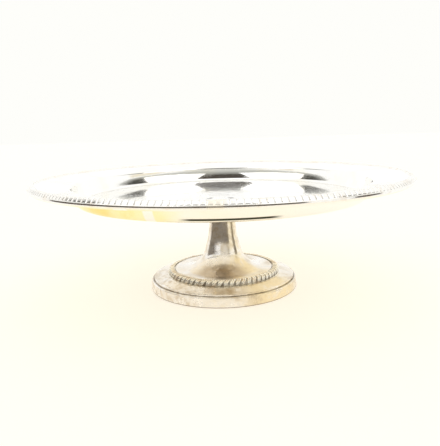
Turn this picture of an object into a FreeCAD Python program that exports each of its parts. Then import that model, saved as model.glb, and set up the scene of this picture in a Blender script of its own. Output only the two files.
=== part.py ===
import FreeCAD, Part
import math
import os

import Sketcher

# A round footed salver: a spun dish with an applied border stands on a hollow trumpet stem
# and a stepped foot.  Everything is turned about the Z axis.  The origin is the centre of the
# circle that the foot stands on, +Z is up, and all sizes are in millimetres.

SHEET_NAME = "sizes"
WHOLE_TURN = 360

# ---------------------------------------------------------------------------------------------
# Driving dimensions.  A name ending in _rad is a radius about the axis, one ending in _level,
# _top, _base or _end is a height above the table, one ending in _depth is measured down the
# axis, and one ending in _round is the radius of a rounded corner.
# ---------------------------------------------------------------------------------------------
sizes = {
    # dish
    "plate_gauge": 1.8,
    "floor_rad": 116.0,
    "floor_level": 77.5,
    "floor_round": 4.5,
    "cove_rad": 119.5,
    "cove_level": 83.5,
    "cove_round": 34.0,
    "brim_rad": 121.5,
    "brim_level": 90.5,
    "brim_round": 2.4,
    "turn_rad": 147.4,
    "turn_level": 94.2,
    "lip_rad": 151.3,
    "lip_level": 90.3,
    # border round the dish
    "border_inner_rad": 146.35,
    "border_inner_level": 94.05,
    "border_back_level": 94.7,
    "border_crown_rad": 149.6,
    "border_crown_level": 95.2,
    "border_crown_round": 1.6,
    "border_outer_rad": 152.5,
    "border_brow_level": 92.7,
    "border_base_level": 91.6,
    "border_base_rad": 150.0,
    # wire along the edge of the dish
    "wire_outer_rad": 152.2,
    "wire_low_rad": 151.8,
    "wire_waist_level": 90.7,
    # collar under the dish
    "collar_rad": 15.0,
    "collar_depth": 3.5,
    "collar_round": 1.2,
    # trumpet stem
    "trumpet_gauge": 1.2,
    "neck_rad": 9.8,
    "neck_level": 67.0,
    "neck_round": 90.0,
    "waist_rad": 11.9,
    "waist_level": 43.5,
    "waist_round": 70.0,
    "flare_rad": 17.3,
    "flare_level": 24.5,
    "flare_round": 17.0,
    "skirt_rad": 25.0,
    "skirt_level": 18.3,
    "skirt_round": 18.0,
    "tray_rad": 33.5,
    "tray_level": 16.0,
    "tray_round": 14.0,
    "step_rad": 41.2,
    "step_round": 1.5,
    "step_foot_rad": 41.7,
    "trumpet_rim_rad": 44.2,
    # cap inside the top of the stem
    "cap_depth": 3.0,
    "cap_bore_rad": 3.3,
    # stud, washer and nut that pull the dish down on the stem
    "stud_rad": 3.0,
    "stud_spare": 3.3,
    "stud_round": 0.6,
    "washer_rad": 7.0,
    "washer_depth": 1.2,
    "nut_across_flats": 10.0,
    "nut_depth": 5.2,
    # flange of the foot
    "flange_gauge": 1.2,
    "flange_inner_rad": 39.5,
    "shelf_level": 12.0,
    "shelf_rad": 48.4,
    "shelf_round": 3.0,
    "slope_rad": 57.9,
    "slope_level": 9.5,
    "slope_round": 4.0,
    "flange_rim_rad": 59.6,
    # border on the foot
    "ring_inner_rad": 42.0,
    "ring_back_level": 16.6,
    "ring_back_round": 0.9,
    "ring_brow_rad": 46.6,
    "ring_brow_level": 16.4,
    "ring_brow_round": 3.0,
    "ring_outer_rad": 47.9,
    "ring_foot_level": 12.9,
    # band that the foot stands on
    "band_rad": 62.0,
    "band_inner_rad": 60.6,
    "band_brow_rad": 61.5,
    "band_brow_level": 7.5,
    "band_round": 0.6,
    "band_top_rad": 60.3,
    "band_shelf_rad": 57.4,
    "band_shelf_base": 7.1,
    "band_wall_rad": 60.2,
    # the axis and the table
    "axis_rad": 0.0,
    "table_level": 0.0,
}

# The pieces that hang in a row under the dish, each against the one above it.
sizes["collar_top"] = sizes["floor_level"] - sizes["plate_gauge"]
sizes["collar_base"] = sizes["collar_top"] - sizes["collar_depth"]
sizes["cap_base"] = sizes["collar_base"] - sizes["cap_depth"]
sizes["washer_base"] = sizes["cap_base"] - sizes["washer_depth"]
sizes["nut_base"] = sizes["washer_base"] - sizes["nut_depth"]
sizes["stud_end"] = sizes["nut_base"] - sizes["stud_spare"]
sizes["cap_rad"] = sizes["neck_rad"] - sizes["trumpet_gauge"]

# The edge of the flange rests on the shelf of the band, and the rim of the trumpet rests on the
# inner part of the flange.
sizes["band_top"] = sizes["slope_level"] - sizes["flange_gauge"]
sizes["seat_level"] = sizes["shelf_level"] + sizes["trumpet_gauge"]

doc = FreeCAD.newDocument("footed_salver")
sheet = doc.addObject("Spreadsheet::Sheet", SHEET_NAME)
for row, (name, value) in enumerate(sizes.items(), start=1):
    sheet.set(f"A{row}", name)
    sheet.set(f"B{row}", f"{value:.4f}")
    sheet.setAlias(f"B{row}", name)
doc.recompute()

subparts = []


def bind(thing, prop, name):
    """Tie one property or constraint of an object to a named size of the sheet."""
    thing.setExpression(prop, f"{SHEET_NAME}.{name}")


def bind_point(sketch, geometry, end, names):
    """Hold one point of a sketch at the radius and height that two sizes name."""
    radius_name, level_name = names
    for kind, name in (("DistanceX", radius_name), ("DistanceY", level_name)):
        number = sketch.addConstraint(Sketcher.Constraint(kind, -1, 1, geometry, end, sizes[name]))
        bind(sketch, f"Constraints[{number}]", name)


def corner_point(corner):
    """The place of a corner in the sketch's own plane."""
    return FreeCAD.Vector(sizes[corner[0]], sizes[corner[1]], 0)


def rounded_corner(before, at, after, radius):
    """The arc that rounds the corner `at`, with its two ends in the order of travel."""
    back = (before - at).normalize()
    ahead = (after - at).normalize()
    half = back.getAngle(ahead) / 2
    reach = radius / math.tan(half)
    middle = (back + ahead).normalize()
    centre = at + middle * (radius / math.sin(half))
    first = at + back * reach
    last = at + ahead * reach
    turn = (at - before).cross(after - at).z
    start, finish = (first, last) if turn > 0 else (last, first)
    angles = [math.atan2(p.y - centre.y, p.x - centre.x) for p in (start, finish)]
    if angles[1] < angles[0]:
        angles[1] += 2 * math.pi
    arc = Part.ArcOfCircle(Part.Circle(centre, FreeCAD.Vector(0, 0, 1), radius), *angles)
    return arc, first, last, turn > 0


def draw_outline(sketch, corners, closed):
    """Draw straight runs between corners, each corner (radius, height) or with a third name
    for its rounding, and tie every corner and every rounding to the sheet."""
    points = [corner_point(c) for c in corners]
    count = len(points)
    ends = {}
    arcs = {}
    for i, corner in enumerate(corners):
        ends[i] = (points[i], points[i])
        if len(corner) == 3:
            before, after = points[i - 1], points[(i + 1) % count]
            arc, first, last, forward = rounded_corner(before, points[i], after, sizes[corner[2]])
            ends[i] = (first, last)
            arcs[i] = (sketch.addGeometry(arc, False), forward)
    lines = {}
    for i in range(count if closed else count - 1):
        run = Part.LineSegment(ends[i][1], ends[(i + 1) % count][0])
        lines[i] = sketch.addGeometry(run, False)
    for i, corner in enumerate(corners):
        into, out = lines.get((i - 1) % count), lines.get(i)
        if i in arcs:
            arc, forward = arcs[i]
            entry, leave = (1, 2) if forward else (2, 1)
            sketch.addConstraint(Sketcher.Constraint("Tangent", into, 2, arc, entry))
            sketch.addConstraint(Sketcher.Constraint("Tangent", arc, leave, out, 1))
            number = sketch.addConstraint(Sketcher.Constraint("Radius", arc, sizes[corner[2]]))
            bind(sketch, f"Constraints[{number}]", corner[2])
            mark = sketch.addGeometry(Part.Point(points[i]), True)
            sketch.addConstraint(Sketcher.Constraint("PointOnObject", mark, 1, into))
            sketch.addConstraint(Sketcher.Constraint("PointOnObject", mark, 1, out))
            bind_point(sketch, mark, 1, corner[:2])
            continue
        if into is not None and out is not None:
            sketch.addConstraint(Sketcher.Constraint("Coincident", into, 2, out, 1))
        if out is not None:
            bind_point(sketch, out, 1, corner[:2])
        else:
            bind_point(sketch, into, 2, corner[:2])


def turned_body(name, corners):
    """A solid piece turned from a closed outline."""
    body = doc.addObject("PartDesign::Body", name)
    body.Label = name
    sketch = body.newObject("Sketcher::SketchObject", f"{name}_outline")
    planes = [f for f in body.Origin.OriginFeatures if f.Role == "XZ_Plane"]
    sketch.AttachmentSupport = [(planes[0], "")]
    sketch.MapMode = "FlatFace"
    draw_outline(sketch, corners, closed=True)
    turn = body.newObject("PartDesign::Revolution", f"{name}_turn")
    turn.Profile = sketch
    turn.ReferenceAxis = (sketch, ["V_Axis"])
    turn.Angle = WHOLE_TURN
    body.Tip = turn
    subparts.append(body)
    return body


def spun_sheet(name, corners, gauge_name, side):
    """A shell spun from sheet metal: an open outline of its outer face, given the gauge of the
    sheet on one side (+1 or -1 of the outline), and turned about the axis."""
    sketch = doc.addObject("Sketcher::SketchObject", f"{name}_outline")
    sketch.Placement = FreeCAD.Placement(
        FreeCAD.Vector(0, 0, 0), FreeCAD.Rotation(FreeCAD.Vector(1, 0, 0), 90)
    )
    draw_outline(sketch, corners, closed=False)
    section = doc.addObject("Part::Offset2D", f"{name}_section")
    section.Source = sketch
    section.setExpression("Value", f"{side} * {SHEET_NAME}.{gauge_name}")
    section.Mode = "Skin"
    section.Join = "Intersection"
    section.Fill = True
    shell = doc.addObject("Part::Revolution", name)
    shell.Label = name
    shell.Source = section
    shell.Axis = FreeCAD.Vector(0, 0, 1)
    shell.Base = FreeCAD.Vector(0, 0, 0)
    shell.Angle = WHOLE_TURN
    shell.Solid = True
    subparts.append(shell)
    return shell


def make_dish():
    """The spun dish: flat floor, steep coved wall, sloping brim and a lip turned down."""
    spun_sheet(
        "salver_plate",
        [
            ("axis_rad", "floor_level"),
            ("floor_rad", "floor_level", "floor_round"),
            ("cove_rad", "cove_level", "cove_round"),
            ("brim_rad", "brim_level", "brim_round"),
            ("turn_rad", "turn_level"),
            ("lip_rad", "lip_level"),
        ],
        "plate_gauge",
        side=-1,
    )


def make_dish_border():
    """The border soldered over the turned lip, and the wire below it."""
    turned_body(
        "rim_border",
        [
            ("border_inner_rad", "border_inner_level"),
            ("turn_rad", "turn_level"),
            ("border_base_rad", "border_base_level"),
            ("border_outer_rad", "border_base_level"),
            ("border_outer_rad", "border_brow_level"),
            ("border_crown_rad", "border_crown_level", "border_crown_round"),
            ("border_inner_rad", "border_back_level"),
        ],
    )
    turned_body(
        "rim_edge_wire",
        [
            ("border_base_rad", "border_base_level"),
            ("lip_rad", "lip_level"),
            ("wire_low_rad", "lip_level"),
            ("wire_outer_rad", "wire_waist_level"),
            ("wire_outer_rad", "border_base_level"),
        ],
    )


def make_stem():
    """The trumpet stem, the cap that closes its top, and the collar under the dish."""
    spun_sheet(
        "stem_trumpet",
        [
            ("neck_rad", "collar_base"),
            ("neck_rad", "neck_level", "neck_round"),
            ("waist_rad", "waist_level", "waist_round"),
            ("flare_rad", "flare_level", "flare_round"),
            ("skirt_rad", "skirt_level", "skirt_round"),
            ("tray_rad", "tray_level", "tray_round"),
            ("step_rad", "tray_level", "step_round"),
            ("step_foot_rad", "seat_level"),
            ("trumpet_rim_rad", "seat_level"),
        ],
        "trumpet_gauge",
        side=-1,
    )
    turned_body(
        "stem_cap",
        [
            ("cap_bore_rad", "cap_base"),
            ("cap_rad", "cap_base"),
            ("cap_rad", "collar_base"),
            ("cap_bore_rad", "collar_base"),
        ],
    )
    turned_body(
        "seat_collar",
        [
            ("stud_rad", "collar_base"),
            ("collar_rad", "collar_base", "collar_round"),
            ("collar_rad", "collar_top"),
            ("stud_rad", "collar_top"),
        ],
    )


def make_fixings():
    """The stud soldered in the collar, and the washer and hexagon nut inside the stem."""
    turned_body(
        "tie_stud",
        [
            ("axis_rad", "stud_end"),
            ("stud_rad", "stud_end", "stud_round"),
            ("stud_rad", "collar_top"),
            ("axis_rad", "collar_top"),
        ],
    )
    turned_body(
        "clamp_washer",
        [
            ("cap_bore_rad", "washer_base"),
            ("washer_rad", "washer_base"),
            ("washer_rad", "cap_base"),
            ("cap_bore_rad", "cap_base"),
        ],
    )
    blank = doc.addObject("Part::Prism", "clamp_nut_blank")
    blank.Polygon = 6
    bind(blank, "Placement.Base.z", "nut_base")
    blank.setExpression("Circumradius", f"{SHEET_NAME}.nut_across_flats / 2 / cos(30)")
    bind(blank, "Height", "nut_depth")
    bore = doc.addObject("Part::Cylinder", "clamp_nut_bore")
    bind(bore, "Radius", "stud_rad")
    bind(bore, "Height", "washer_base")
    nut = doc.addObject("Part::Cut", "clamp_nut")
    nut.Base = blank
    nut.Tool = bore
    nut.Label = "clamp_nut"
    subparts.append(nut)


def make_foot():
    """The flange of the foot, the border that covers its seam, and the band it stands on."""
    spun_sheet(
        "foot_flange",
        [
            ("flange_inner_rad", "shelf_level"),
            ("shelf_rad", "shelf_level", "shelf_round"),
            ("slope_rad", "slope_level", "slope_round"),
            ("flange_rim_rad", "slope_level"),
        ],
        "flange_gauge",
        side=1,
    )
    turned_body(
        "foot_border",
        [
            ("ring_inner_rad", "seat_level"),
            ("trumpet_rim_rad", "seat_level"),
            ("trumpet_rim_rad", "shelf_level"),
            ("ring_outer_rad", "shelf_level"),
            ("ring_outer_rad", "ring_foot_level"),
            ("ring_brow_rad", "ring_brow_level", "ring_brow_round"),
            ("ring_inner_rad", "ring_back_level", "ring_back_round"),
        ],
    )
    turned_body(
        "foot_band",
        [
            ("band_inner_rad", "table_level"),
            ("band_rad", "table_level"),
            ("band_brow_rad", "band_brow_level", "band_round"),
            ("band_top_rad", "band_top"),
            ("band_shelf_rad", "band_top"),
            ("band_shelf_rad", "band_shelf_base"),
            ("band_wall_rad", "band_shelf_base"),
        ],
    )


make_dish()
make_dish_border()
make_stem()
make_fixings()
make_foot()
doc.recompute()

for thing in doc.Objects:
    if {"Invalid", "Error"} & set(thing.State):
        raise RuntimeError(f"{thing.Label} did not compute: {thing.State}")
for subpart in subparts:
    if subpart.Shape.isNull() or not subpart.Shape.isValid():
        raise RuntimeError(f"{subpart.Label} has no valid shape")
    if len(subpart.Shape.Solids) != 1:
        raise RuntimeError(f"{subpart.Label} is not one solid")

os.makedirs("parts", exist_ok=True)
for subpart in subparts:
    subpart.Shape.exportStep(f"parts/{subpart.Label}.step")
    print(f"{subpart.Label}: {subpart.Shape.Volume:.0f} cubic mm")
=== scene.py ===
import math

import bpy
from mathutils import Matrix, Vector


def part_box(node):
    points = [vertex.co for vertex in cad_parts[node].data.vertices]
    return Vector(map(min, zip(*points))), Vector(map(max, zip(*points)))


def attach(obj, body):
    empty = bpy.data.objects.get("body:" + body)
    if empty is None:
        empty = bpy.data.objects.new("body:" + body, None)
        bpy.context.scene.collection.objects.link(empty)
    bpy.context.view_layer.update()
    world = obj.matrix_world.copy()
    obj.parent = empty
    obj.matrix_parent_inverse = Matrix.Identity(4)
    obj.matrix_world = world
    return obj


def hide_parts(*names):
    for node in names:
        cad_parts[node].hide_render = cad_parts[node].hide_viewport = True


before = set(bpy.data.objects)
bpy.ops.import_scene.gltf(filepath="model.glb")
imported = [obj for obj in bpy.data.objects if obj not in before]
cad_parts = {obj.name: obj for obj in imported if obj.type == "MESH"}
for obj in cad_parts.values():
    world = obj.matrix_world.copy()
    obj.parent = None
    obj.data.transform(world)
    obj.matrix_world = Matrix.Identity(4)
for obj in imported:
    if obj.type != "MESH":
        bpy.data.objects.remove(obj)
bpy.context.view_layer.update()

MM = 0.001
TAU = 2 * math.pi

# -------------------------------------------------------------------------------------------
# Sizes, in metres.  Radii and heights come from the frame where a node has them as a limit.
# -------------------------------------------------------------------------------------------


def low(node):
    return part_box(node)[0]


def high(node):
    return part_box(node)[1]


# the dish: floor, coved wall, sloping brim and a lip turned down under the rim
PLATE_GAUGE = 1.8 * MM
FLOOR_LEVEL = low("salver_plate").z + PLATE_GAUGE
FLOOR_RAD = 116.0 * MM
FLOOR_ROUND = 4.5 * MM
COVE_RAD = 119.5 * MM
COVE_LEVEL = 83.5 * MM
COVE_ROUND = 34.0 * MM
BRIM_RAD = 121.5 * MM
BRIM_LEVEL = 90.5 * MM
BRIM_ROUND = 2.4 * MM
TURN_LEVEL = high("salver_plate").z
LIP_RAD = high("salver_plate").x
LIP_LEVEL = low("rim_edge_wire").z
TURN_RAD = LIP_RAD - (TURN_LEVEL - LIP_LEVEL)

# the lobed border of the rim, and the plain wire below it
RIM_RAD = -low("rim_border").x
RIM_TOP = high("rim_border").z
RIM_BASE = low("rim_border").z
RIM_BASE_RAD = LIP_RAD - (RIM_BASE - LIP_LEVEL)
RIM_SHOULDER_LEVEL = RIM_BASE + 0.5 * MM
RIM_CREST_RAD = 149.6 * MM
RIM_SLOPE_RAD = 147.6 * MM
RIM_SLOPE_LEVEL = RIM_TOP - 0.05 * MM
RIM_INNER_RAD = 146.35 * MM
RIM_INNER_LEVEL = 94.05 * MM
RIM_LOBES = 230
WIRE_RAD = high("rim_edge_wire").x
WIRE_BOTTOM_RAD = 151.75 * MM
WIRE_WIDEST_LEVEL = LIP_LEVEL + 0.75 * MM

# the trumpet: neck, waist and flare, then a flat tray with a step up to the foot's border
FOOT_GAUGE = 1.2 * MM
NECK_TOP = low("seat_collar").z
NECK_RAD = high("stem_cap").x + FOOT_GAUGE
NECK_BOTTOM = 67.0 * MM
WAIST_RAD = 11.9 * MM
WAIST_LEVEL = 43.5 * MM
FLARE_RAD = 17.3 * MM
FLARE_LEVEL = 24.5 * MM
SKIRT_RAD = 25.0 * MM
SKIRT_LEVEL = 18.3 * MM
TRAY_RAD = 33.5 * MM
TRAY_LEVEL = 16.0 * MM
STEP_RAD = 41.6 * MM
STEP_TOP_RAD = 41.7 * MM
TRUMPET_RIM_RAD = high("stem_trumpet").x

# the foot: lobed border, sloping flange and upright band
SHELF_LEVEL = low("foot_border").z
SEAT_LEVEL = SHELF_LEVEL + FOOT_GAUGE
RING_RAD = high("foot_border").x
RING_TOP = high("foot_border").z
RING_SHOULDER_LEVEL = SHELF_LEVEL + 0.9 * MM
RING_CREST_RAD = 46.6 * MM
RING_INNER_RAD = 42.0 * MM
RING_INNER_LEVEL = SEAT_LEVEL + 1.2 * MM
RING_LOBES = 62
FLANGE_RAD = high("foot_flange").x
FLANGE_BASE = low("foot_flange").z
FLANGE_TURN_RAD = 57.9 * MM
FLANGE_SHELF_RAD = 48.4 * MM
FLANGE_INNER_RAD = 39.5 * MM
BAND_RAD = high("foot_band").x
BAND_WALL_RAD = 60.6 * MM
BAND_SHOULDER_RAD = 61.5 * MM
BAND_SHOULDER_LEVEL = 7.5 * MM
BAND_TOP_RAD = 60.3 * MM
BAND_CEILING = 7.1 * MM
BAND_CEILING_RAD = 60.2 * MM
BAND_INNER_RAD = 57.4 * MM

# how many faces go round each turned shape, and round each lobe
DISH_SIDES = 512
WIRE_SIDES = 720
STEM_SIDES = 256
FOOT_SIDES = 320
RIM_LOBE_SIDES = 12
RING_LOBE_SIDES = 24

# -------------------------------------------------------------------------------------------
# Turned shapes.  An outline is a list of corners (radius, height) or (radius, height, rounding),
# walked with the metal on the left, so that its outward side is on the right.
# -------------------------------------------------------------------------------------------


def right_of(direction):
    return Vector((direction.y, -direction.x))


def directions(corners, i, closed):
    """The unit directions of the runs into and out of corner i."""
    count = len(corners)
    here = Vector(corners[i][:2])
    into = out = None
    if closed or i > 0:
        into = (here - Vector(corners[i - 1][:2])).normalized()
    if closed or i < count - 1:
        out = (Vector(corners[(i + 1) % count][:2]) - here).normalized()
    return into or out, out or into


def turn_between(into, out):
    return math.atan2(into.x * out.y - into.y * out.x, into.dot(out))


def outline_samples(corners, closed=True, step=math.radians(5)):
    """Points along an outline with their outward normals.  Roundings are divided into small
    steps, and a sharp corner has two points, one with the normal of each run."""
    samples = []
    for i, corner in enumerate(corners):
        here = Vector(corner[:2])
        into, out = directions(corners, i, closed)
        turn = turn_between(into, out)
        if len(corner) == 2 or abs(turn) < 1e-6:
            samples.append((here, right_of(into)))
            if abs(turn) > 1e-6:
                samples.append((here, right_of(out)))
            continue
        rounding = corner[2]
        side = math.copysign(1, turn)
        begin = here - into * rounding * math.tan(abs(turn) / 2)
        centre = begin - right_of(into) * side * rounding
        pieces = max(4, math.ceil(abs(turn) / step))
        for k in range(pieces + 1):
            angle = turn * k / pieces
            normal = Matrix.Rotation(angle, 2) @ right_of(into)
            samples.append((centre + normal * side * rounding, normal))
    return samples


def sheet_outline(face, gauge):
    """The closed outline of a sheet, from the corners of its face walked from its rim to the
    axis or neck.  The far face lies one gauge to the left."""
    far = []
    for i, corner in enumerate(face):
        into, out = directions(face, i, closed=False)
        turn = turn_between(into, out)
        bisector = (right_of(into) + right_of(out)).normalized()
        place = Vector(corner[:2]) - bisector * gauge / math.cos(turn / 2)
        rounding = corner[2] - math.copysign(gauge, turn) if len(corner) == 3 else 0
        far.append((place.x, place.y, rounding) if rounding > 0.05 * MM else tuple(place))
    return face + far[::-1]


def new_object(name, mesh):
    piece = bpy.data.objects.new(name, mesh)
    bpy.context.scene.collection.objects.link(piece)
    return piece


def lathe(name, corners, around):
    """A mesh turned about the Z axis from a closed outline, with exact normals."""
    samples = [
        (place, normal)
        for place, normal in outline_samples(corners)
        if place.x > 1e-7 or abs(normal.y) > 0.5
    ]
    verts, normals, rings = [], [], []
    for place, normal in samples:
        if place.x < 1e-7:
            rings.append([len(verts)] * around)
            verts.append((0, 0, place.y))
            normals.append((0, 0, normal.y))
            continue
        rings.append(list(range(len(verts), len(verts) + around)))
        for k in range(around):
            c, s = math.cos(TAU * k / around), math.sin(TAU * k / around)
            verts.append((place.x * c, place.x * s, place.y))
            normals.append((normal.x * c, normal.x * s, normal.y))
    faces = []
    for i, ring in enumerate(rings):
        following = (i + 1) % len(rings)
        if (samples[i][0] - samples[following][0]).length < 1e-8:
            continue
        other = rings[following]
        for k in range(around):
            j = (k + 1) % around
            quad = [ring[k], ring[j], other[j], other[k]]
            corners_left = [v for n, v in enumerate(quad) if v != quad[n - 1]]
            if len(corners_left) > 2:
                faces.append(corners_left)
    mesh = bpy.data.meshes.new(name)
    mesh.from_pydata(verts, [], faces)
    mesh.shade_smooth()
    mesh.normals_split_custom_set_from_vertices(normals)
    return new_object(name, mesh)


# -------------------------------------------------------------------------------------------
# Lobed borders
# -------------------------------------------------------------------------------------------


def even_samples(corners, count):
    """Points at even distances along an open outline, with smoothed outward normals."""
    samples = outline_samples(corners, closed=False)
    lengths = [0.0]
    for (here, _), (there, _) in zip(samples, samples[1:]):
        lengths.append(lengths[-1] + (there - here).length)
    result = []
    k = 0
    for i in range(count):
        want = lengths[-1] * i / (count - 1)
        while k < len(lengths) - 2 and lengths[k + 1] < want:
            k += 1
        span = lengths[k + 1] - lengths[k]
        share = (want - lengths[k]) / span if span > 1e-12 else 0.0
        place = samples[k][0].lerp(samples[k + 1][0], share)
        normal = samples[k][1].lerp(samples[k + 1][1], share).normalized()
        result.append((place, normal))
    return result


def lobed_ring(name, face, back, lobes, per_lobe, height_of, across=30):
    """A ring whose face carries lobes.  `face` is the outline over the tops of the lobes, from
    the outer edge to the inner one; `back` is the hidden outline that closes it.  height_of
    takes the place round a lobe (-1 to 1) and across the face (-1 inner to 1 outer), and gives
    how far the metal lies below the tops, and how hollow it is (0 to 1)."""
    around = lobes * per_lobe
    path = even_samples(face, across)
    plain = [place for place, _ in outline_samples(back, closed=False)][1:-1]
    verts, hollow = [], []
    for i, (place, normal) in enumerate(path):
        v = 1 - 2 * i / (across - 1)
        for k in range(around):
            u = 2 * (k / per_lobe)
            drop, depth = height_of(u, v)
            spot = place - normal * drop
            c, s = math.cos(TAU * k / around), math.sin(TAU * k / around)
            verts.append((spot.x * c, spot.x * s, spot.y))
            hollow.append(depth)
    for place in plain:
        for k in range(around):
            c, s = math.cos(TAU * k / around), math.sin(TAU * k / around)
            verts.append((place.x * c, place.x * s, place.y))
            hollow.append(0.3)
    rows = across + len(plain)
    faces = []
    for i in range(rows):
        here, there = i * around, (i + 1) % rows * around
        for k in range(around):
            j = (k + 1) % around
            faces.append((here + k, here + j, there + j, there + k))
    mesh = bpy.data.meshes.new(name)
    mesh.from_pydata(verts, [], faces)
    mesh.shade_smooth()
    mesh.set_sharp_from_angle(angle=math.radians(50))
    layer = mesh.attributes.new("hollow", "FLOAT", "POINT")
    layer.data.foreach_set("value", hollow)
    return new_object(name, mesh)


def rim_lobe(u, v):
    """Straight lobes with flat tops and narrow grooves, a little narrower at the inner end, on
    a plain edge."""
    depth = 0.26 * MM
    u = (u + 1) % 2 - 1
    w = (v - 0.06) / 0.7
    if abs(w) >= 1:
        return 0.0, 0.0
    half_width = 0.98 - 0.14 * max(0.0, -w)
    rise = max(0.0, 1 - (abs(u) / half_width) ** 8) * math.sqrt(1 - w**8)
    return depth * (1 - rise), 1 - rise


def foot_lobe(u, v):
    """Slanted round lobes with a groove down the middle, narrower at the outer end, between
    two plain edges."""
    depth = 1.0 * MM
    slant = 0.8
    u = (u + slant * v + 1) % 2 - 1
    reach = min(1.0, abs(v) / 0.95)
    cap = math.sqrt(max(0.0, 1 - reach**4))
    half_width = 0.95 - 0.4 * max(0.0, v)
    crown = math.sqrt(max(0.0, 1 - (u / half_width) ** 2))
    vein = 0.42 * math.exp(-((u / 0.2) ** 2))
    edge = max(0.0, (abs(v) - 0.94) / 0.06)
    lift = max(0.0, (crown - vein) * cap, edge)
    return depth * (1 - lift), 1 - lift


# -------------------------------------------------------------------------------------------
# Node trees.  A share is a value from 0 to 1.  Angles are in degrees, lengths in metres.
# -------------------------------------------------------------------------------------------


class Nodes:
    """Short calls for building one material's or world's node tree."""

    def __init__(self, tree):
        self.tree = tree
        self.tree.nodes.clear()

    def add(self, kind, **settings):
        node = self.tree.nodes.new(kind)
        for name, value in settings.items():
            setattr(node, name, value)
        return node

    def put(self, socket, value):
        """Link a socket's input, or set it to a plain value."""
        if isinstance(value, bpy.types.NodeSocket):
            self.tree.links.new(value, socket)
        else:
            socket.default_value = value

    def math(self, operation, *values):
        node = self.add("ShaderNodeMath", operation=operation)
        for socket, value in zip(node.inputs, values):
            self.put(socket, value)
        return node.outputs[0]

    def all_of(self, *shares):
        """The product of the shares."""
        total = shares[0]
        for share in shares[1:]:
            total = self.math("MULTIPLY", total, share)
        return total

    def any_of(self, *shares):
        """The largest of the shares."""
        total = shares[0]
        for share in shares[1:]:
            total = self.math("MAXIMUM", total, share)
        return total

    def rest_of(self, share):
        return self.math("SUBTRACT", 1.0, share)

    def ramp(self, value, start, end, low=0.0, high=1.0):
        """A smooth step from low to high as value goes from start to end."""
        node = self.add("ShaderNodeMapRange", interpolation_type="SMOOTHSTEP")
        self.put(node.inputs["Value"], value)
        self.put(node.inputs["From Min"], start)
        self.put(node.inputs["From Max"], end)
        self.put(node.inputs["To Min"], low)
        self.put(node.inputs["To Max"], high)
        return node.outputs["Result"]

    def between(self, value, start, end, soft):
        """1 where value lies from start to end, falling softly to 0 outside."""
        rise = self.ramp(value, start - soft, start + soft)
        fall = self.ramp(value, end - soft, end + soft, 1.0, 0.0)
        return self.math("MULTIPLY", rise, fall)

    def mix(self, share, first, second):
        node = self.add("ShaderNodeMix", data_type="RGBA")
        self.put(node.inputs["Factor"], share)
        self.put(node.inputs[6], first)
        self.put(node.inputs[7], second)
        return node.outputs[2]

    def place(self, scale=(1, 1, 1), turn=(0, 0, 0)):
        """Object coordinates, turned and then scaled."""
        where = self.add("ShaderNodeTexCoord").outputs["Object"]
        node = self.add("ShaderNodeMapping")
        self.put(node.inputs["Vector"], where)
        node.inputs["Rotation"].default_value = turn
        node.inputs["Scale"].default_value = scale
        return node.outputs["Vector"]

    def azimuth(self, x, y):
        """The angle round the Z axis: 0 at the front, positive towards +X."""
        angle = self.math("ARCTAN2", x, self.math("MULTIPLY", y, -1.0))
        return self.math("MULTIPLY", angle, 180 / math.pi)

    def around_axis(self):
        """Distance from the axis, angle round it and height of each point."""
        where = self.add("ShaderNodeSeparateXYZ")
        self.put(where.inputs[0], self.add("ShaderNodeTexCoord").outputs["Object"])
        x, y, z = where.outputs
        squares = self.math("ADD", self.math("MULTIPLY", x, x), self.math("MULTIPLY", y, y))
        return self.math("SQRT", squares), self.azimuth(x, y), z

    def downward(self):
        """1 on faces that look down, 0 on faces that look up."""
        normal = self.add("ShaderNodeSeparateXYZ")
        self.put(normal.inputs[0], self.add("ShaderNodeNewGeometry").outputs["Normal"])
        return self.ramp(normal.outputs[2], -0.02, -0.15)

    def noise(self, vector, scale, detail=3.0, roughness=0.55):
        node = self.add("ShaderNodeTexNoise")
        self.put(node.inputs["Vector"], vector)
        node.inputs["Scale"].default_value = scale
        node.inputs["Detail"].default_value = detail
        node.inputs["Roughness"].default_value = roughness
        return node.outputs["Fac"]

    def scratches(self, angles, density):
        """Fine straight marks in several directions, 1 on a mark and 0 between them."""
        marks = []
        for angle in angles:
            grain = self.place((density / 60, density, density / 60), (0, 0, angle))
            lines = self.noise(grain, 1.0, 1.0)
            off_line = self.math("ABSOLUTE", self.math("SUBTRACT", lines, 0.5))
            patch = self.ramp(self.noise(self.place(turn=(0, 0, angle)), 45.0, 2.0), 0.5, 0.6)
            marks.append(self.all_of(self.ramp(off_line, 0.0, 0.012, 1.0, 0.0), patch))
        return self.any_of(*marks)

    def bump(self, height, distance, strength=1.0, after=None):
        node = self.add("ShaderNodeBump")
        node.inputs["Strength"].default_value = strength
        node.inputs["Distance"].default_value = distance
        self.put(node.inputs["Height"], height)
        if after is not None:
            self.put(node.inputs["Normal"], after)
        return node.outputs["Normal"]

    def metal(self, colour, roughness, normal, haze=None):
        """A metal surface.  Where haze is given, that share of it only scatters."""
        out = self.add("ShaderNodeOutputMaterial")
        surface = self.metal_layer(colour, roughness, normal)
        if haze is not None:
            both = self.add("ShaderNodeMixShader")
            self.put(both.inputs["Fac"], haze)
            self.put(both.inputs[1], surface)
            self.put(both.inputs[2], self.metal_layer(colour, 0.5, normal))
            surface = both.outputs[0]
        self.put(out.inputs["Surface"], surface)

    def metal_layer(self, colour, roughness, normal):
        shader = self.add("ShaderNodeBsdfPrincipled")
        shader.inputs["Metallic"].default_value = 1.0
        self.put(shader.inputs["Base Color"], colour)
        self.put(shader.inputs["Roughness"], roughness)
        self.put(shader.inputs["Normal"], normal)
        return shader.outputs["BSDF"]


def new_material(name):
    material = bpy.data.materials.new(name)
    material.use_nodes = True
    return material, Nodes(material.node_tree)


# -------------------------------------------------------------------------------------------
# Materials
# -------------------------------------------------------------------------------------------

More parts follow.
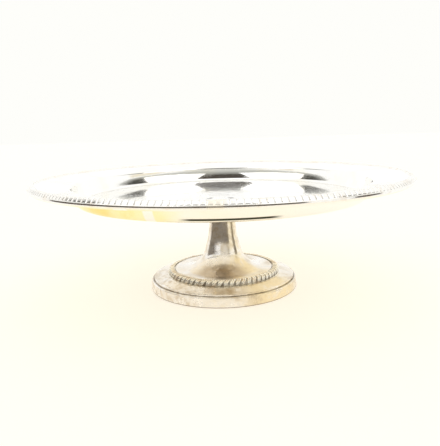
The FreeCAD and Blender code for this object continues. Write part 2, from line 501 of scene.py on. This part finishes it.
SILVER = (0.95, 0.94, 0.915, 1)
CREAM_BLOOM = (0.93, 0.86, 0.66, 1)
SPOT_BLACK = (0.12, 0.11, 0.09, 1)
# The two yellows below tint the dish's outer wall: partly tarnish, partly a painted reflection of
# the warm table.
PALE_GOLD = (0.93, 0.88, 0.50, 1)
DEEP_GOLD = (0.92, 0.74, 0.28, 1)
# A painted reflection: the thin dark line low on the dish's outer wall in front.
REFLECTION_LINE_BLACK = (0.05, 0.05, 0.03, 1)

WORN_SILVER = (0.96, 0.93, 0.89, 1)
YELLOW_TARNISH = (0.91, 0.83, 0.70, 1)
GOLDEN_TARNISH = (0.95, 0.82, 0.56, 1)
BROWN_TARNISH = (0.58, 0.48, 0.36, 1)
# Painted contact shadow along the band's bottom edge, and a darker line in the crease above the
# band.
CONTACT_SHADOW_AND_CREASE_DARK = (0.13, 0.09, 0.05, 1)

RIM_PALE = (0.93, 0.91, 0.87, 1)
RIM_DARK = (0.20, 0.18, 0.15, 1)
RING_PALE = (0.95, 0.91, 0.80, 1)
RING_DARK = (0.14, 0.10, 0.06, 1)
WARM_TARNISH = (0.74, 0.60, 0.44, 1)
CREAM_FILM = (0.96, 0.89, 0.74, 1)

BRASS = (0.72, 0.56, 0.30, 1)
STEEL = (0.56, 0.56, 0.55, 1)


# where the marks on the dish lie, as spans of angle, distance from the axis or height
LEFT_SPOT = (-30, -20)
RIGHT_SPOT = (15, 26)
SPOT_RADII = (18 * MM, 25 * MM)
REAR_STAIN = (136, 150)
WIPED_STRIPE = (-24.3, -20.8)
REFLECTION_LINE_ANGLES = (-11.5, 17.0)
REFLECTION_LINE_HEIGHTS = (77.4 * MM, 78.9 * MM)
WALL_RADII = (112 * MM, 124 * MM)
UNDER_BRIM_RADII = (122.5 * MM, 151 * MM)


def floor_spots(n, radius, angle):
    """Two dark spots on the floor, left and right in front of the axis."""
    spots = n.any_of(n.between(angle, *LEFT_SPOT, 2), n.between(angle, *RIGHT_SPOT, 2))
    return n.all_of(spots, n.between(radius, *SPOT_RADII, 1.5 * MM), 0.8)


def wall_tarnish_and_reflected_tint(n, angle, cloud):
    """Yellow tint, partly tarnish and partly a painted reflection of the warm table: strong in
    clouds at the left with a wiped stripe, faint in front.
    """
    left = n.all_of(n.ramp(angle, -20.5, -8.0, 1.0, 0.0), n.ramp(angle, -130.0, -72.0))
    clouded = n.all_of(left, n.ramp(cloud, 0.3, 0.6, 0.75, 1.0))
    wiped = n.between(angle, *WIPED_STRIPE, 0.35)
    return n.all_of(n.any_of(clouded, n.ramp(angle, 0.0, 40.0, 0.12, 0.0)), n.rest_of(wiped))


def outer_wall(n, radius, angle, outside):
    """The outside of the dish's wall, and the underside of the brim except at the left."""
    brim = n.all_of(
        n.between(radius, *UNDER_BRIM_RADII, 1.5 * MM), n.ramp(angle, -38.0, -31.0)
    )
    return n.all_of(outside, n.any_of(n.between(radius, *WALL_RADII, 1.5 * MM), brim))


def plate_silver():
    """Mirror polish with fine scratches and pits, a faint cream bloom with a stain on the rear
    brim, two dark spots on the floor, a yellow tint on the outer wall that is strongest at the
    left, partly tarnish and partly a painted reflection of the warm table, a thin dark line
    low on the wall in front that is a painted reflection, and a hazy, worn floor."""
    material, n = new_material("polished_silver")
    radius, angle, height = n.around_axis()
    outside = n.downward()
    inside = n.rest_of(outside)
    wall = outer_wall(n, radius, angle, outside)
    marks = n.scratches((0.3, 1.2, 2.2, 2.9), 2600.0)
    pits = n.ramp(n.noise(n.place(), 650.0, 3.0, 0.6), 0.56, 0.68)
    bloom = n.ramp(n.noise(n.place(), 26.0, 5.0), 0.46, 0.74)
    cloud = n.noise(n.place(), 55.0, 4.0)

    stain = n.all_of(
        n.between(angle, *REAR_STAIN, 5), n.ramp(radius, 138 * MM, 145 * MM, 0.0, 0.6)
    )
    colour = n.mix(n.any_of(n.all_of(bloom, 0.4), stain), SILVER, CREAM_BLOOM)
    colour = n.mix(n.all_of(floor_spots(n, radius, angle), inside), colour, SPOT_BLACK)
    # The outer wall's yellow is partly tarnish and partly a painted reflection of the warm table.
    amber = n.any_of(n.ramp(cloud, 0.48, 0.7, 0.0, 0.5), n.ramp(angle, -42.0, -32.0, 1.0, 0.0))
    tarnish_and_reflected_yellow = n.mix(amber, PALE_GOLD, DEEP_GOLD)
    colour = n.mix(n.all_of(wall_tarnish_and_reflected_tint(n, angle, cloud), wall), colour, tarnish_and_reflected_yellow)
    # A thin dark line low on the outer wall in front: a painted reflection.
    painted_reflection_line = n.all_of(
        n.between(height, *REFLECTION_LINE_HEIGHTS, 0.2 * MM), n.between(angle, *REFLECTION_LINE_ANGLES, 2.5), wall
    )
    colour = n.mix(painted_reflection_line, colour, REFLECTION_LINE_BLACK)

    rough = n.math("ADD", n.ramp(bloom, 0.0, 1.0, 0.03, 0.07), n.all_of(marks, 0.12))
    rough = n.math("ADD", rough, n.all_of(pits, 0.14))
    waves = n.bump(n.noise(n.place(), 34.0, 2.0), 0.08 * MM)
    normal = n.bump(n.any_of(marks, pits), 0.012 * MM, 0.5, after=waves)
    floor = n.all_of(n.ramp(height, 77.7 * MM, 78.0 * MM, 1.0, 0.0), inside)
    haze = n.all_of(floor, n.ramp(pits, 0.0, 1.0, 0.12, 0.6))
    n.metal(colour, rough, normal, haze)
    return material


# where the marks on the foot lie
SKIRT_RADII = (21 * MM, 38 * MM)
SKIRT_ANGLES = (-42, 36)
SMEAR_RADII = (48 * MM, 57 * MM)
SMEAR_ANGLES = (-17, -9)
FLECKED_ANGLES = (-105, -22)
GOLDEN_ANGLES = (18, 66)
CREASE_HEIGHTS = (8.1 * MM, 8.8 * MM)


def foot_tarnish(n, radius, angle, height, grain, small):
    """Brown tarnish: patches, the skirt of the stem, a smear on the flange, and flecks at its
    left side and up the stem."""
    patches = n.all_of(n.ramp(grain, 0.70, 0.88), 0.6)
    skirt = n.all_of(
        n.between(radius, *SKIRT_RADII, 4 * MM), n.between(angle, *SKIRT_ANGLES, 12),
        n.ramp(grain, 0.42, 0.68, 0.6, 1.0), 0.8,
    )
    smear = n.all_of(
        n.between(radius, *SMEAR_RADII, 1.5 * MM), n.between(angle, *SMEAR_ANGLES, 2), 0.6
    )
    left_flange = n.all_of(n.between(angle, *FLECKED_ANGLES, 8), n.ramp(radius, 47 * MM, 49 * MM))
    flecked = n.any_of(left_flange, n.ramp(height, 28 * MM, 40 * MM))
    flecks = n.all_of(n.ramp(small, 0.46, 0.6), flecked, 0.5)
    return n.any_of(patches, skirt, smear, flecks)


def foot_silver():
    """Worn silver plate, tarnished yellow and brown in patches and golden at the right side,
    with fine pitting, a darker line in the crease above the band, and a painted contact shadow
    along the edge that stands on the table."""
    material, n = new_material("tarnished_silver")
    radius, angle, height = n.around_axis()
    marks = n.scratches((0.1, 0.9, 1.7, 2.6), 2200.0)
    large = n.noise(n.place(), 44.0, 6.0, 0.62)
    small = n.noise(n.place(), 260.0, 4.0, 0.65)
    grain = n.math("ADD", large, n.math("MULTIPLY", small, 0.35))

    yellow = n.all_of(n.ramp(grain, 0.56, 0.80), 0.85)
    colour = n.mix(yellow, WORN_SILVER, YELLOW_TARNISH)
    golden = n.all_of(n.between(angle, *GOLDEN_ANGLES, 10), n.ramp(grain, 0.5, 0.75, 0.25, 0.95))
    colour = n.mix(golden, colour, GOLDEN_TARNISH)
    brown = foot_tarnish(n, radius, angle, height, grain, small)
    colour = n.mix(brown, colour, BROWN_TARNISH)
    # A darker line in the crease above the band.
    crease = n.all_of(
        n.between(height, *CREASE_HEIGHTS, 0.2 * MM), n.ramp(radius, 59.2 * MM, 59.8 * MM),
        n.ramp(small, 0.3, 0.6, 0.25, 0.75),
    )
    # A painted contact shadow along the bottom edge, where the band stands on the table.
    contact = n.all_of(n.ramp(height, 0.35 * MM, 0.75 * MM, 1.0, 0.0), 0.9)
    contact_shadow_and_crease_line = n.any_of(crease, contact)
    colour = n.mix(contact_shadow_and_crease_line, colour, CONTACT_SHADOW_AND_CREASE_DARK)

    rough = n.math("ADD", n.ramp(large, 0.4, 0.7, 0.09, 0.2), n.all_of(marks, 0.1))
    rough = n.math("ADD", rough, n.all_of(contact_shadow_and_crease_line, 0.3))
    pits = n.bump(small, 0.07 * MM, 0.6)
    normal = n.bump(marks, 0.015 * MM, 0.5, after=pits)
    n.metal(colour, rough, normal, n.ramp(grain, 0.4, 0.8, 0.15, 0.45))
    return material


FILM_ANGLES = (-3.1, 0.5)


def border_silver(name, dark, pale, grime, painted_side_shade):
    """Cast borders: bright on the lobes and dark where tarnish lies in the hollows, with painted
    shade darkening the hollows further at the left and right sides.  A wide border also has a
    cream film on a short part of it in front."""
    material, n = new_material(name)
    hollow = n.add("ShaderNodeAttribute", attribute_name="hollow").outputs["Fac"]
    radius, angle, _ = n.around_axis()
    side = n.math("ABSOLUTE", angle)
    film = n.all_of(n.between(angle, *FILM_ANGLES, 0.4), n.ramp(radius, 100 * MM, 110 * MM))
    patchy = n.noise(n.place(), 150.0, 4.0, 0.65)
    warm = n.ramp(n.noise(n.place(), 110.0, 5.0, 0.65), 0.46, 0.66, 0.0, grime * 0.9)
    depth = n.all_of(n.ramp(hollow, 0.35, 0.9), n.ramp(patchy, 0.36, 0.6, 0.35, 1.0))
    # Towards the left and right sides the hollows darken further: painted shade, on top of the
    # tarnish.
    tarnish = n.all_of(depth, n.ramp(side, 48, 72, grime, grime + painted_side_shade))
    colour = n.mix(tarnish, n.mix(warm, pale, WARM_TARNISH), dark)
    colour = n.mix(n.all_of(film, 0.7), colour, CREAM_FILM)
    rough = n.ramp(hollow, 0.0, 1.0, 0.09, 0.32)
    normal = n.bump(n.noise(n.place(), 900.0, 3.0), 0.03 * MM, 0.5)
    haze = n.any_of(n.ramp(hollow, 0.1, 0.8, 0.08, 0.75), n.all_of(film, 0.6))
    n.metal(colour, rough, normal, haze)
    return material


def turned_metal(name, colour, roughness):
    """Plain turned brass or steel with fine rings from the lathe and a dull film."""
    material, n = new_material(name)
    rings = n.noise(n.place((30, 30, 4200)), 1.0, 2.0)
    film = n.noise(n.place(), 160.0, 4.0)
    dull = tuple(c * 0.6 for c in colour[:3]) + (1,)
    shade = n.mix(n.ramp(film, 0.4, 0.75), colour, dull)
    rough = n.ramp(film, 0.3, 0.8, roughness, roughness + 0.2)
    n.metal(shade, rough, n.bump(rings, 0.04 * MM, 0.6))
    return material


# -------------------------------------------------------------------------------------------
# The pieces
# -------------------------------------------------------------------------------------------


def finish_piece(piece, material, node):
    piece.data.materials.append(material)
    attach(piece, "root")
    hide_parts(node)


def make_dish():
    face = [
        (LIP_RAD, LIP_LEVEL),
        (TURN_RAD, TURN_LEVEL),
        (BRIM_RAD, BRIM_LEVEL, BRIM_ROUND),
        (COVE_RAD, COVE_LEVEL, COVE_ROUND),
        (FLOOR_RAD, FLOOR_LEVEL, FLOOR_ROUND),
        (0, FLOOR_LEVEL),
    ]
    dish = lathe("dish_sheet", sheet_outline(face, PLATE_GAUGE), DISH_SIDES)
    finish_piece(dish, plate_silver(), "salver_plate")


def make_rim():
    face = [
        (RIM_RAD, RIM_BASE),
        (RIM_RAD, RIM_SHOULDER_LEVEL, 0.3 * MM),
        (RIM_CREST_RAD, RIM_TOP, 1.8 * MM),
        (RIM_SLOPE_RAD, RIM_SLOPE_LEVEL, 0.9 * MM),
        (RIM_INNER_RAD, RIM_INNER_LEVEL),
    ]
    back = [
        (RIM_INNER_RAD, RIM_INNER_LEVEL),
        (TURN_RAD, TURN_LEVEL),
        (RIM_BASE_RAD, RIM_BASE),
        (RIM_RAD, RIM_BASE),
    ]
    border = lobed_ring("rim_lobed_border", face, back, RIM_LOBES, RIM_LOBE_SIDES, rim_lobe)
    # The last number sets the painted shade in the hollows at the rim border's left and right sides.
    material = border_silver("rim_border_silver", RIM_DARK, RIM_PALE, 0.35, 0.6)
    finish_piece(border, material, "rim_border")
    section = [
        (RIM_BASE_RAD, RIM_BASE),
        (LIP_RAD, LIP_LEVEL),
        (WIRE_BOTTOM_RAD, LIP_LEVEL, 0.2 * MM),
        (WIRE_RAD, WIRE_WIDEST_LEVEL, 0.6 * MM),
        (WIRE_RAD, RIM_BASE, 0.1 * MM),
    ]
    wire = lathe("rim_wire", section, WIRE_SIDES)
    finish_piece(wire, material, "rim_edge_wire")


def make_stem():
    face = [
        (TRUMPET_RIM_RAD, SEAT_LEVEL),
        (STEP_TOP_RAD, SEAT_LEVEL),
        (STEP_RAD, TRAY_LEVEL, 0.8 * MM),
        (TRAY_RAD, TRAY_LEVEL, 14 * MM),
        (SKIRT_RAD, SKIRT_LEVEL, 18 * MM),
        (FLARE_RAD, FLARE_LEVEL, 17 * MM),
        (WAIST_RAD, WAIST_LEVEL, 70 * MM),
        (NECK_RAD, NECK_BOTTOM, 90 * MM),
        (NECK_RAD, NECK_TOP),
    ]
    trumpet = lathe("trumpet_stem", sheet_outline(face, FOOT_GAUGE), STEM_SIDES)
    finish_piece(trumpet, foot_silver(), "stem_trumpet")


def make_flange():
    face = [
        (FLANGE_RAD, FLANGE_BASE + FOOT_GAUGE),
        (FLANGE_TURN_RAD, FLANGE_BASE + FOOT_GAUGE, 4 * MM),
        (FLANGE_SHELF_RAD, SHELF_LEVEL, 3 * MM),
        (FLANGE_INNER_RAD, SHELF_LEVEL),
    ]
    flange = lathe("foot_flange_sheet", sheet_outline(face, FOOT_GAUGE), FOOT_SIDES)
    finish_piece(flange, foot_silver(), "foot_flange")


def make_band():
    section = [
        (BAND_WALL_RAD, 0),
        (BAND_RAD, 0, 0.4 * MM),
        (BAND_SHOULDER_RAD, BAND_SHOULDER_LEVEL, 0.8 * MM),
        (BAND_TOP_RAD, FLANGE_BASE),
        (BAND_INNER_RAD, FLANGE_BASE),
        (BAND_INNER_RAD, BAND_CEILING),
        (BAND_CEILING_RAD, BAND_CEILING),
    ]
    band = lathe("foot_band_ring", section, FOOT_SIDES)
    finish_piece(band, foot_silver(), "foot_band")


def make_foot_border():
    face = [
        (RING_RAD, SHELF_LEVEL),
        (RING_RAD, RING_SHOULDER_LEVEL, 0.8 * MM),
        (RING_CREST_RAD, RING_TOP, 3.0 * MM),
        (RING_INNER_RAD, RING_TOP, 0.9 * MM),
        (RING_INNER_RAD, RING_INNER_LEVEL),
    ]
    back = [
        (RING_INNER_RAD, RING_INNER_LEVEL),
        (RING_INNER_RAD, SEAT_LEVEL),
        (TRUMPET_RIM_RAD, SEAT_LEVEL),
        (TRUMPET_RIM_RAD, SHELF_LEVEL),
        (RING_RAD, SHELF_LEVEL),
    ]
    border = lobed_ring("foot_lobed_border", face, back, RING_LOBES, RING_LOBE_SIDES, foot_lobe)
    material = border_silver("foot_border_silver", RING_DARK, RING_PALE, 0.85, 0.0)
    finish_piece(border, material, "foot_border")


def finish_fixings():
    """The hidden fixings keep their own shapes and get turned brass and plain steel."""
    brass = turned_metal("fixing_brass", BRASS, 0.28)
    steel = turned_metal("fixing_steel", STEEL, 0.3)
    for name, material in (
        ("seat_collar", brass),
        ("stem_cap", brass),
        ("tie_stud", steel),
        ("clamp_washer", steel),
        ("clamp_nut", steel),
    ):
        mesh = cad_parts[name].data
        mesh.materials.clear()
        mesh.materials.append(material)


# -------------------------------------------------------------------------------------------
# Studio: a pale table, the room that the silver mirrors, and the camera
# -------------------------------------------------------------------------------------------

TABLE_SHADE = (0.42, 0.41, 0.37, 1)
TABLE_LIGHT = (0.44, 0.43, 0.38, 1)
TABLE_GLOW = (0.72, 0.66, 0.565, 1)

ROOM_WHITE = (1.10, 1.10, 1.08, 1)
ROOM_BACK = (0.992, 0.990, 0.955, 1)
ROOM_LIGHT = (1.0, 1.0, 1.0, 1)
WINDOW_WHITE = (1.6, 1.6, 1.6, 1)
BAND_GREY = (0.62, 0.62, 0.58, 1)
BAND_DARKER = (0.26, 0.26, 0.24, 1)
BAND_DARKEST = (0.08, 0.08, 0.07, 1)
GAP_BLACK = (0.085, 0.075, 0.065, 1)
CLOTH_CREAM = (0.90, 0.84, 0.71, 1)
FRONT_BLACK = (0.10, 0.08, 0.065, 1)

# the front of the room, as spans of azimuth and elevation
MIDDLE = (-18, 40)
CLOTH = (15, 24)
CLOTH_TOP = (19.6, 24)
CLOTH_TOP_ACROSS = (-70, 90)
DARK_ACROSS = (-108, 46)
DARK_RIGHT = (76, 96)
DARK = (-28, 14.7)
DARK_STEP = (10, 15.8)

CAMERA_DISTANCE = 417.6 * MM
CAMERA_HEIGHT = 134.2 * MM
CAMERA_PITCH = math.radians(10.97)
CAMERA_ROLL = math.radians(-1.658)
CAMERA_YAW = math.radians(-0.273)
LENS_MM = 40.38


def make_table():
    """A pale sheet that widens away from the camera, as far as the camera sees it.  It glows
    softly of itself as well, so that shadows on it are faint."""
    front, back = -0.26, 5.0
    near, far = (0.5 * (y + CAMERA_DISTANCE) + 0.03 for y in (front, back))
    corners = [(-near, front, 0), (near, front, 0), (far, back, 0), (-far, back, 0)]
    mesh = bpy.data.meshes.new("table")
    mesh.from_pydata(corners, [], [(0, 1, 2, 3)])
    table = new_object("table", mesh)
    material, n = new_material("table_paper")
    shader = n.add("ShaderNodeBsdfPrincipled")
    cloud = n.noise(n.place(), 9.0, 2.0)
    n.put(shader.inputs["Base Color"], n.mix(cloud, TABLE_SHADE, TABLE_LIGHT))
    shader.inputs["Roughness"].default_value = 0.9
    shader.inputs["Specular IOR Level"].default_value = 0.1
    shader.inputs["Emission Color"].default_value = TABLE_GLOW
    shader.inputs["Emission Strength"].default_value = 1.0
    out = n.add("ShaderNodeOutputMaterial")
    n.put(out.inputs["Surface"], shader.outputs["BSDF"])
    table.data.materials.append(material)


def add_band(n, colour, side, elevation):
    """A grey band above the white walls, darker upwards and much darker at the sides.  It
    rises and thins out towards the back of the room."""
    far_side = n.math("MAXIMUM", n.math("MULTIPLY_ADD", side, 0.25, -24.0), 0.0)
    climb = n.math("SUBTRACT", elevation, far_side)
    grey = n.mix(n.ramp(climb, 28, 42), BAND_GREY, BAND_DARKER)
    deep = n.mix(n.ramp(climb, 25, 34), BAND_GREY, BAND_DARKEST)
    lowered = n.math("ADD", n.ramp(side, 60, 90, 0, 20), n.ramp(side, 98, 116, 0, 12))
    top = n.ramp(n.math("ADD", elevation, lowered), 64, 68, 1.0, 0.0)
    share = n.all_of(n.ramp(climb, 24.8, 27.2), top, n.ramp(side, 113, 120, 1.0, 0.0))
    return n.mix(share, colour, n.mix(n.ramp(side, 70, 82), grey, deep))


def add_windows(n, colour, ray, azimuth, side, elevation):
    """Two large windows, wider towards the top, with a gap between them that is dark in its
    middle heights."""
    x, z = ray
    rise = n.math("MULTIPLY_ADD", side, 0.13, -3.2)
    above = n.ramp(n.math("ADD", elevation, rise), 35.9, 37.1)
    spread = n.math("SUBTRACT", side, n.math("MULTIPLY_ADD", elevation, 0.45, -9.5))
    inner = n.math("DIVIDE", x, n.math("MAXIMUM", z, 0.05))
    gap = n.all_of(n.between(inner, -0.42, 0.35, 0.02), n.between(azimuth, -41, 35, 3))
    window = n.all_of(above, n.ramp(spread, 77, 79, 1.0, 0.0), n.rest_of(gap))
    colour = n.mix(window, colour, WINDOW_WHITE)
    return n.mix(n.all_of(gap, n.between(elevation, 42, 70, 1.0)), colour, GAP_BLACK)


def add_front(n, colour, azimuth, elevation):
    """The end of the room in front: a cream cloth, wider at its top, and below it a dark part
    with a step up in the middle."""
    middle = n.between(azimuth, *MIDDLE, 3)
    cloth = n.any_of(
        n.all_of(middle, n.between(elevation, *CLOTH, 1)),
        n.all_of(n.between(azimuth, *CLOTH_TOP_ACROSS, 3), n.between(elevation, *CLOTH_TOP, 1)),
    )
    colour = n.mix(cloth, colour, CLOTH_CREAM)
    across = n.math("ADD", n.between(azimuth, *DARK_ACROSS, 1.5), n.between(azimuth, *DARK_RIGHT, 2))
    dark = n.all_of(across, n.between(elevation, *DARK, 1.0))
    step = n.all_of(middle, n.between(elevation, *DARK_STEP, 1))
    return n.mix(n.any_of(dark, step), colour, FRONT_BLACK)


def make_room():
    """The room as the silver mirrors it, painted by azimuth and elevation in degrees.  The
    camera itself sees a plain pale backdrop, and matt surfaces are lit by plain white."""
    world = bpy.data.worlds.new("room")
    bpy.context.scene.world = world
    world.use_nodes = True
    n = Nodes(world.node_tree)
    where = n.add("ShaderNodeSeparateXYZ")
    n.put(where.inputs[0], n.add("ShaderNodeTexCoord").outputs["Generated"])
    x, y, z = where.outputs
    azimuth = n.azimuth(x, y)
    elevation = n.math("MULTIPLY", n.math("ARCSINE", z), 180 / math.pi)
    side = n.math("ABSOLUTE", n.math("ADD", azimuth, 3.5))
    colour = add_band(n, ROOM_WHITE, side, elevation)
    colour = add_windows(n, colour, (x, z), azimuth, side, elevation)
    colour = add_front(n, colour, azimuth, elevation)
    rays = n.add("ShaderNodeLightPath").outputs
    colour = n.mix(rays["Is Diffuse Ray"], colour, ROOM_LIGHT)
    shader = n.add("ShaderNodeBackground")
    n.put(shader.inputs["Color"], n.mix(rays["Is Camera Ray"], colour, ROOM_BACK))
    out = n.add("ShaderNodeOutputWorld")
    n.put(out.inputs["Surface"], shader.outputs[0])


def make_camera():
    data = bpy.data.cameras.new("camera")
    data.sensor_width = 36
    data.lens = LENS_MM
    data.clip_start = 0.01
    camera = bpy.data.objects.new("camera", data)
    bpy.context.scene.collection.objects.link(camera)
    ahead = Vector((
        math.sin(CAMERA_YAW) * math.cos(CAMERA_PITCH),
        math.cos(CAMERA_YAW) * math.cos(CAMERA_PITCH),
        -math.sin(CAMERA_PITCH),
    ))
    level = Vector((math.cos(CAMERA_YAW), -math.sin(CAMERA_YAW), 0))
    upright = level.cross(ahead)
    across = level * math.cos(CAMERA_ROLL) + upright * math.sin(CAMERA_ROLL)
    up = upright * math.cos(CAMERA_ROLL) - level * math.sin(CAMERA_ROLL)
    turn = Matrix((across, up, -ahead)).transposed().to_4x4()
    camera.matrix_world = Matrix.Translation((0, -CAMERA_DISTANCE, CAMERA_HEIGHT)) @ turn
    bpy.context.scene.camera = camera


bpy.context.scene.view_settings.view_transform = "Standard"
bpy.context.scene.view_settings.look = "None"
make_camera()
make_room()
make_table()
make_dish()
make_rim()
make_stem()
make_flange()
make_band()
make_foot_border()
finish_fixings()
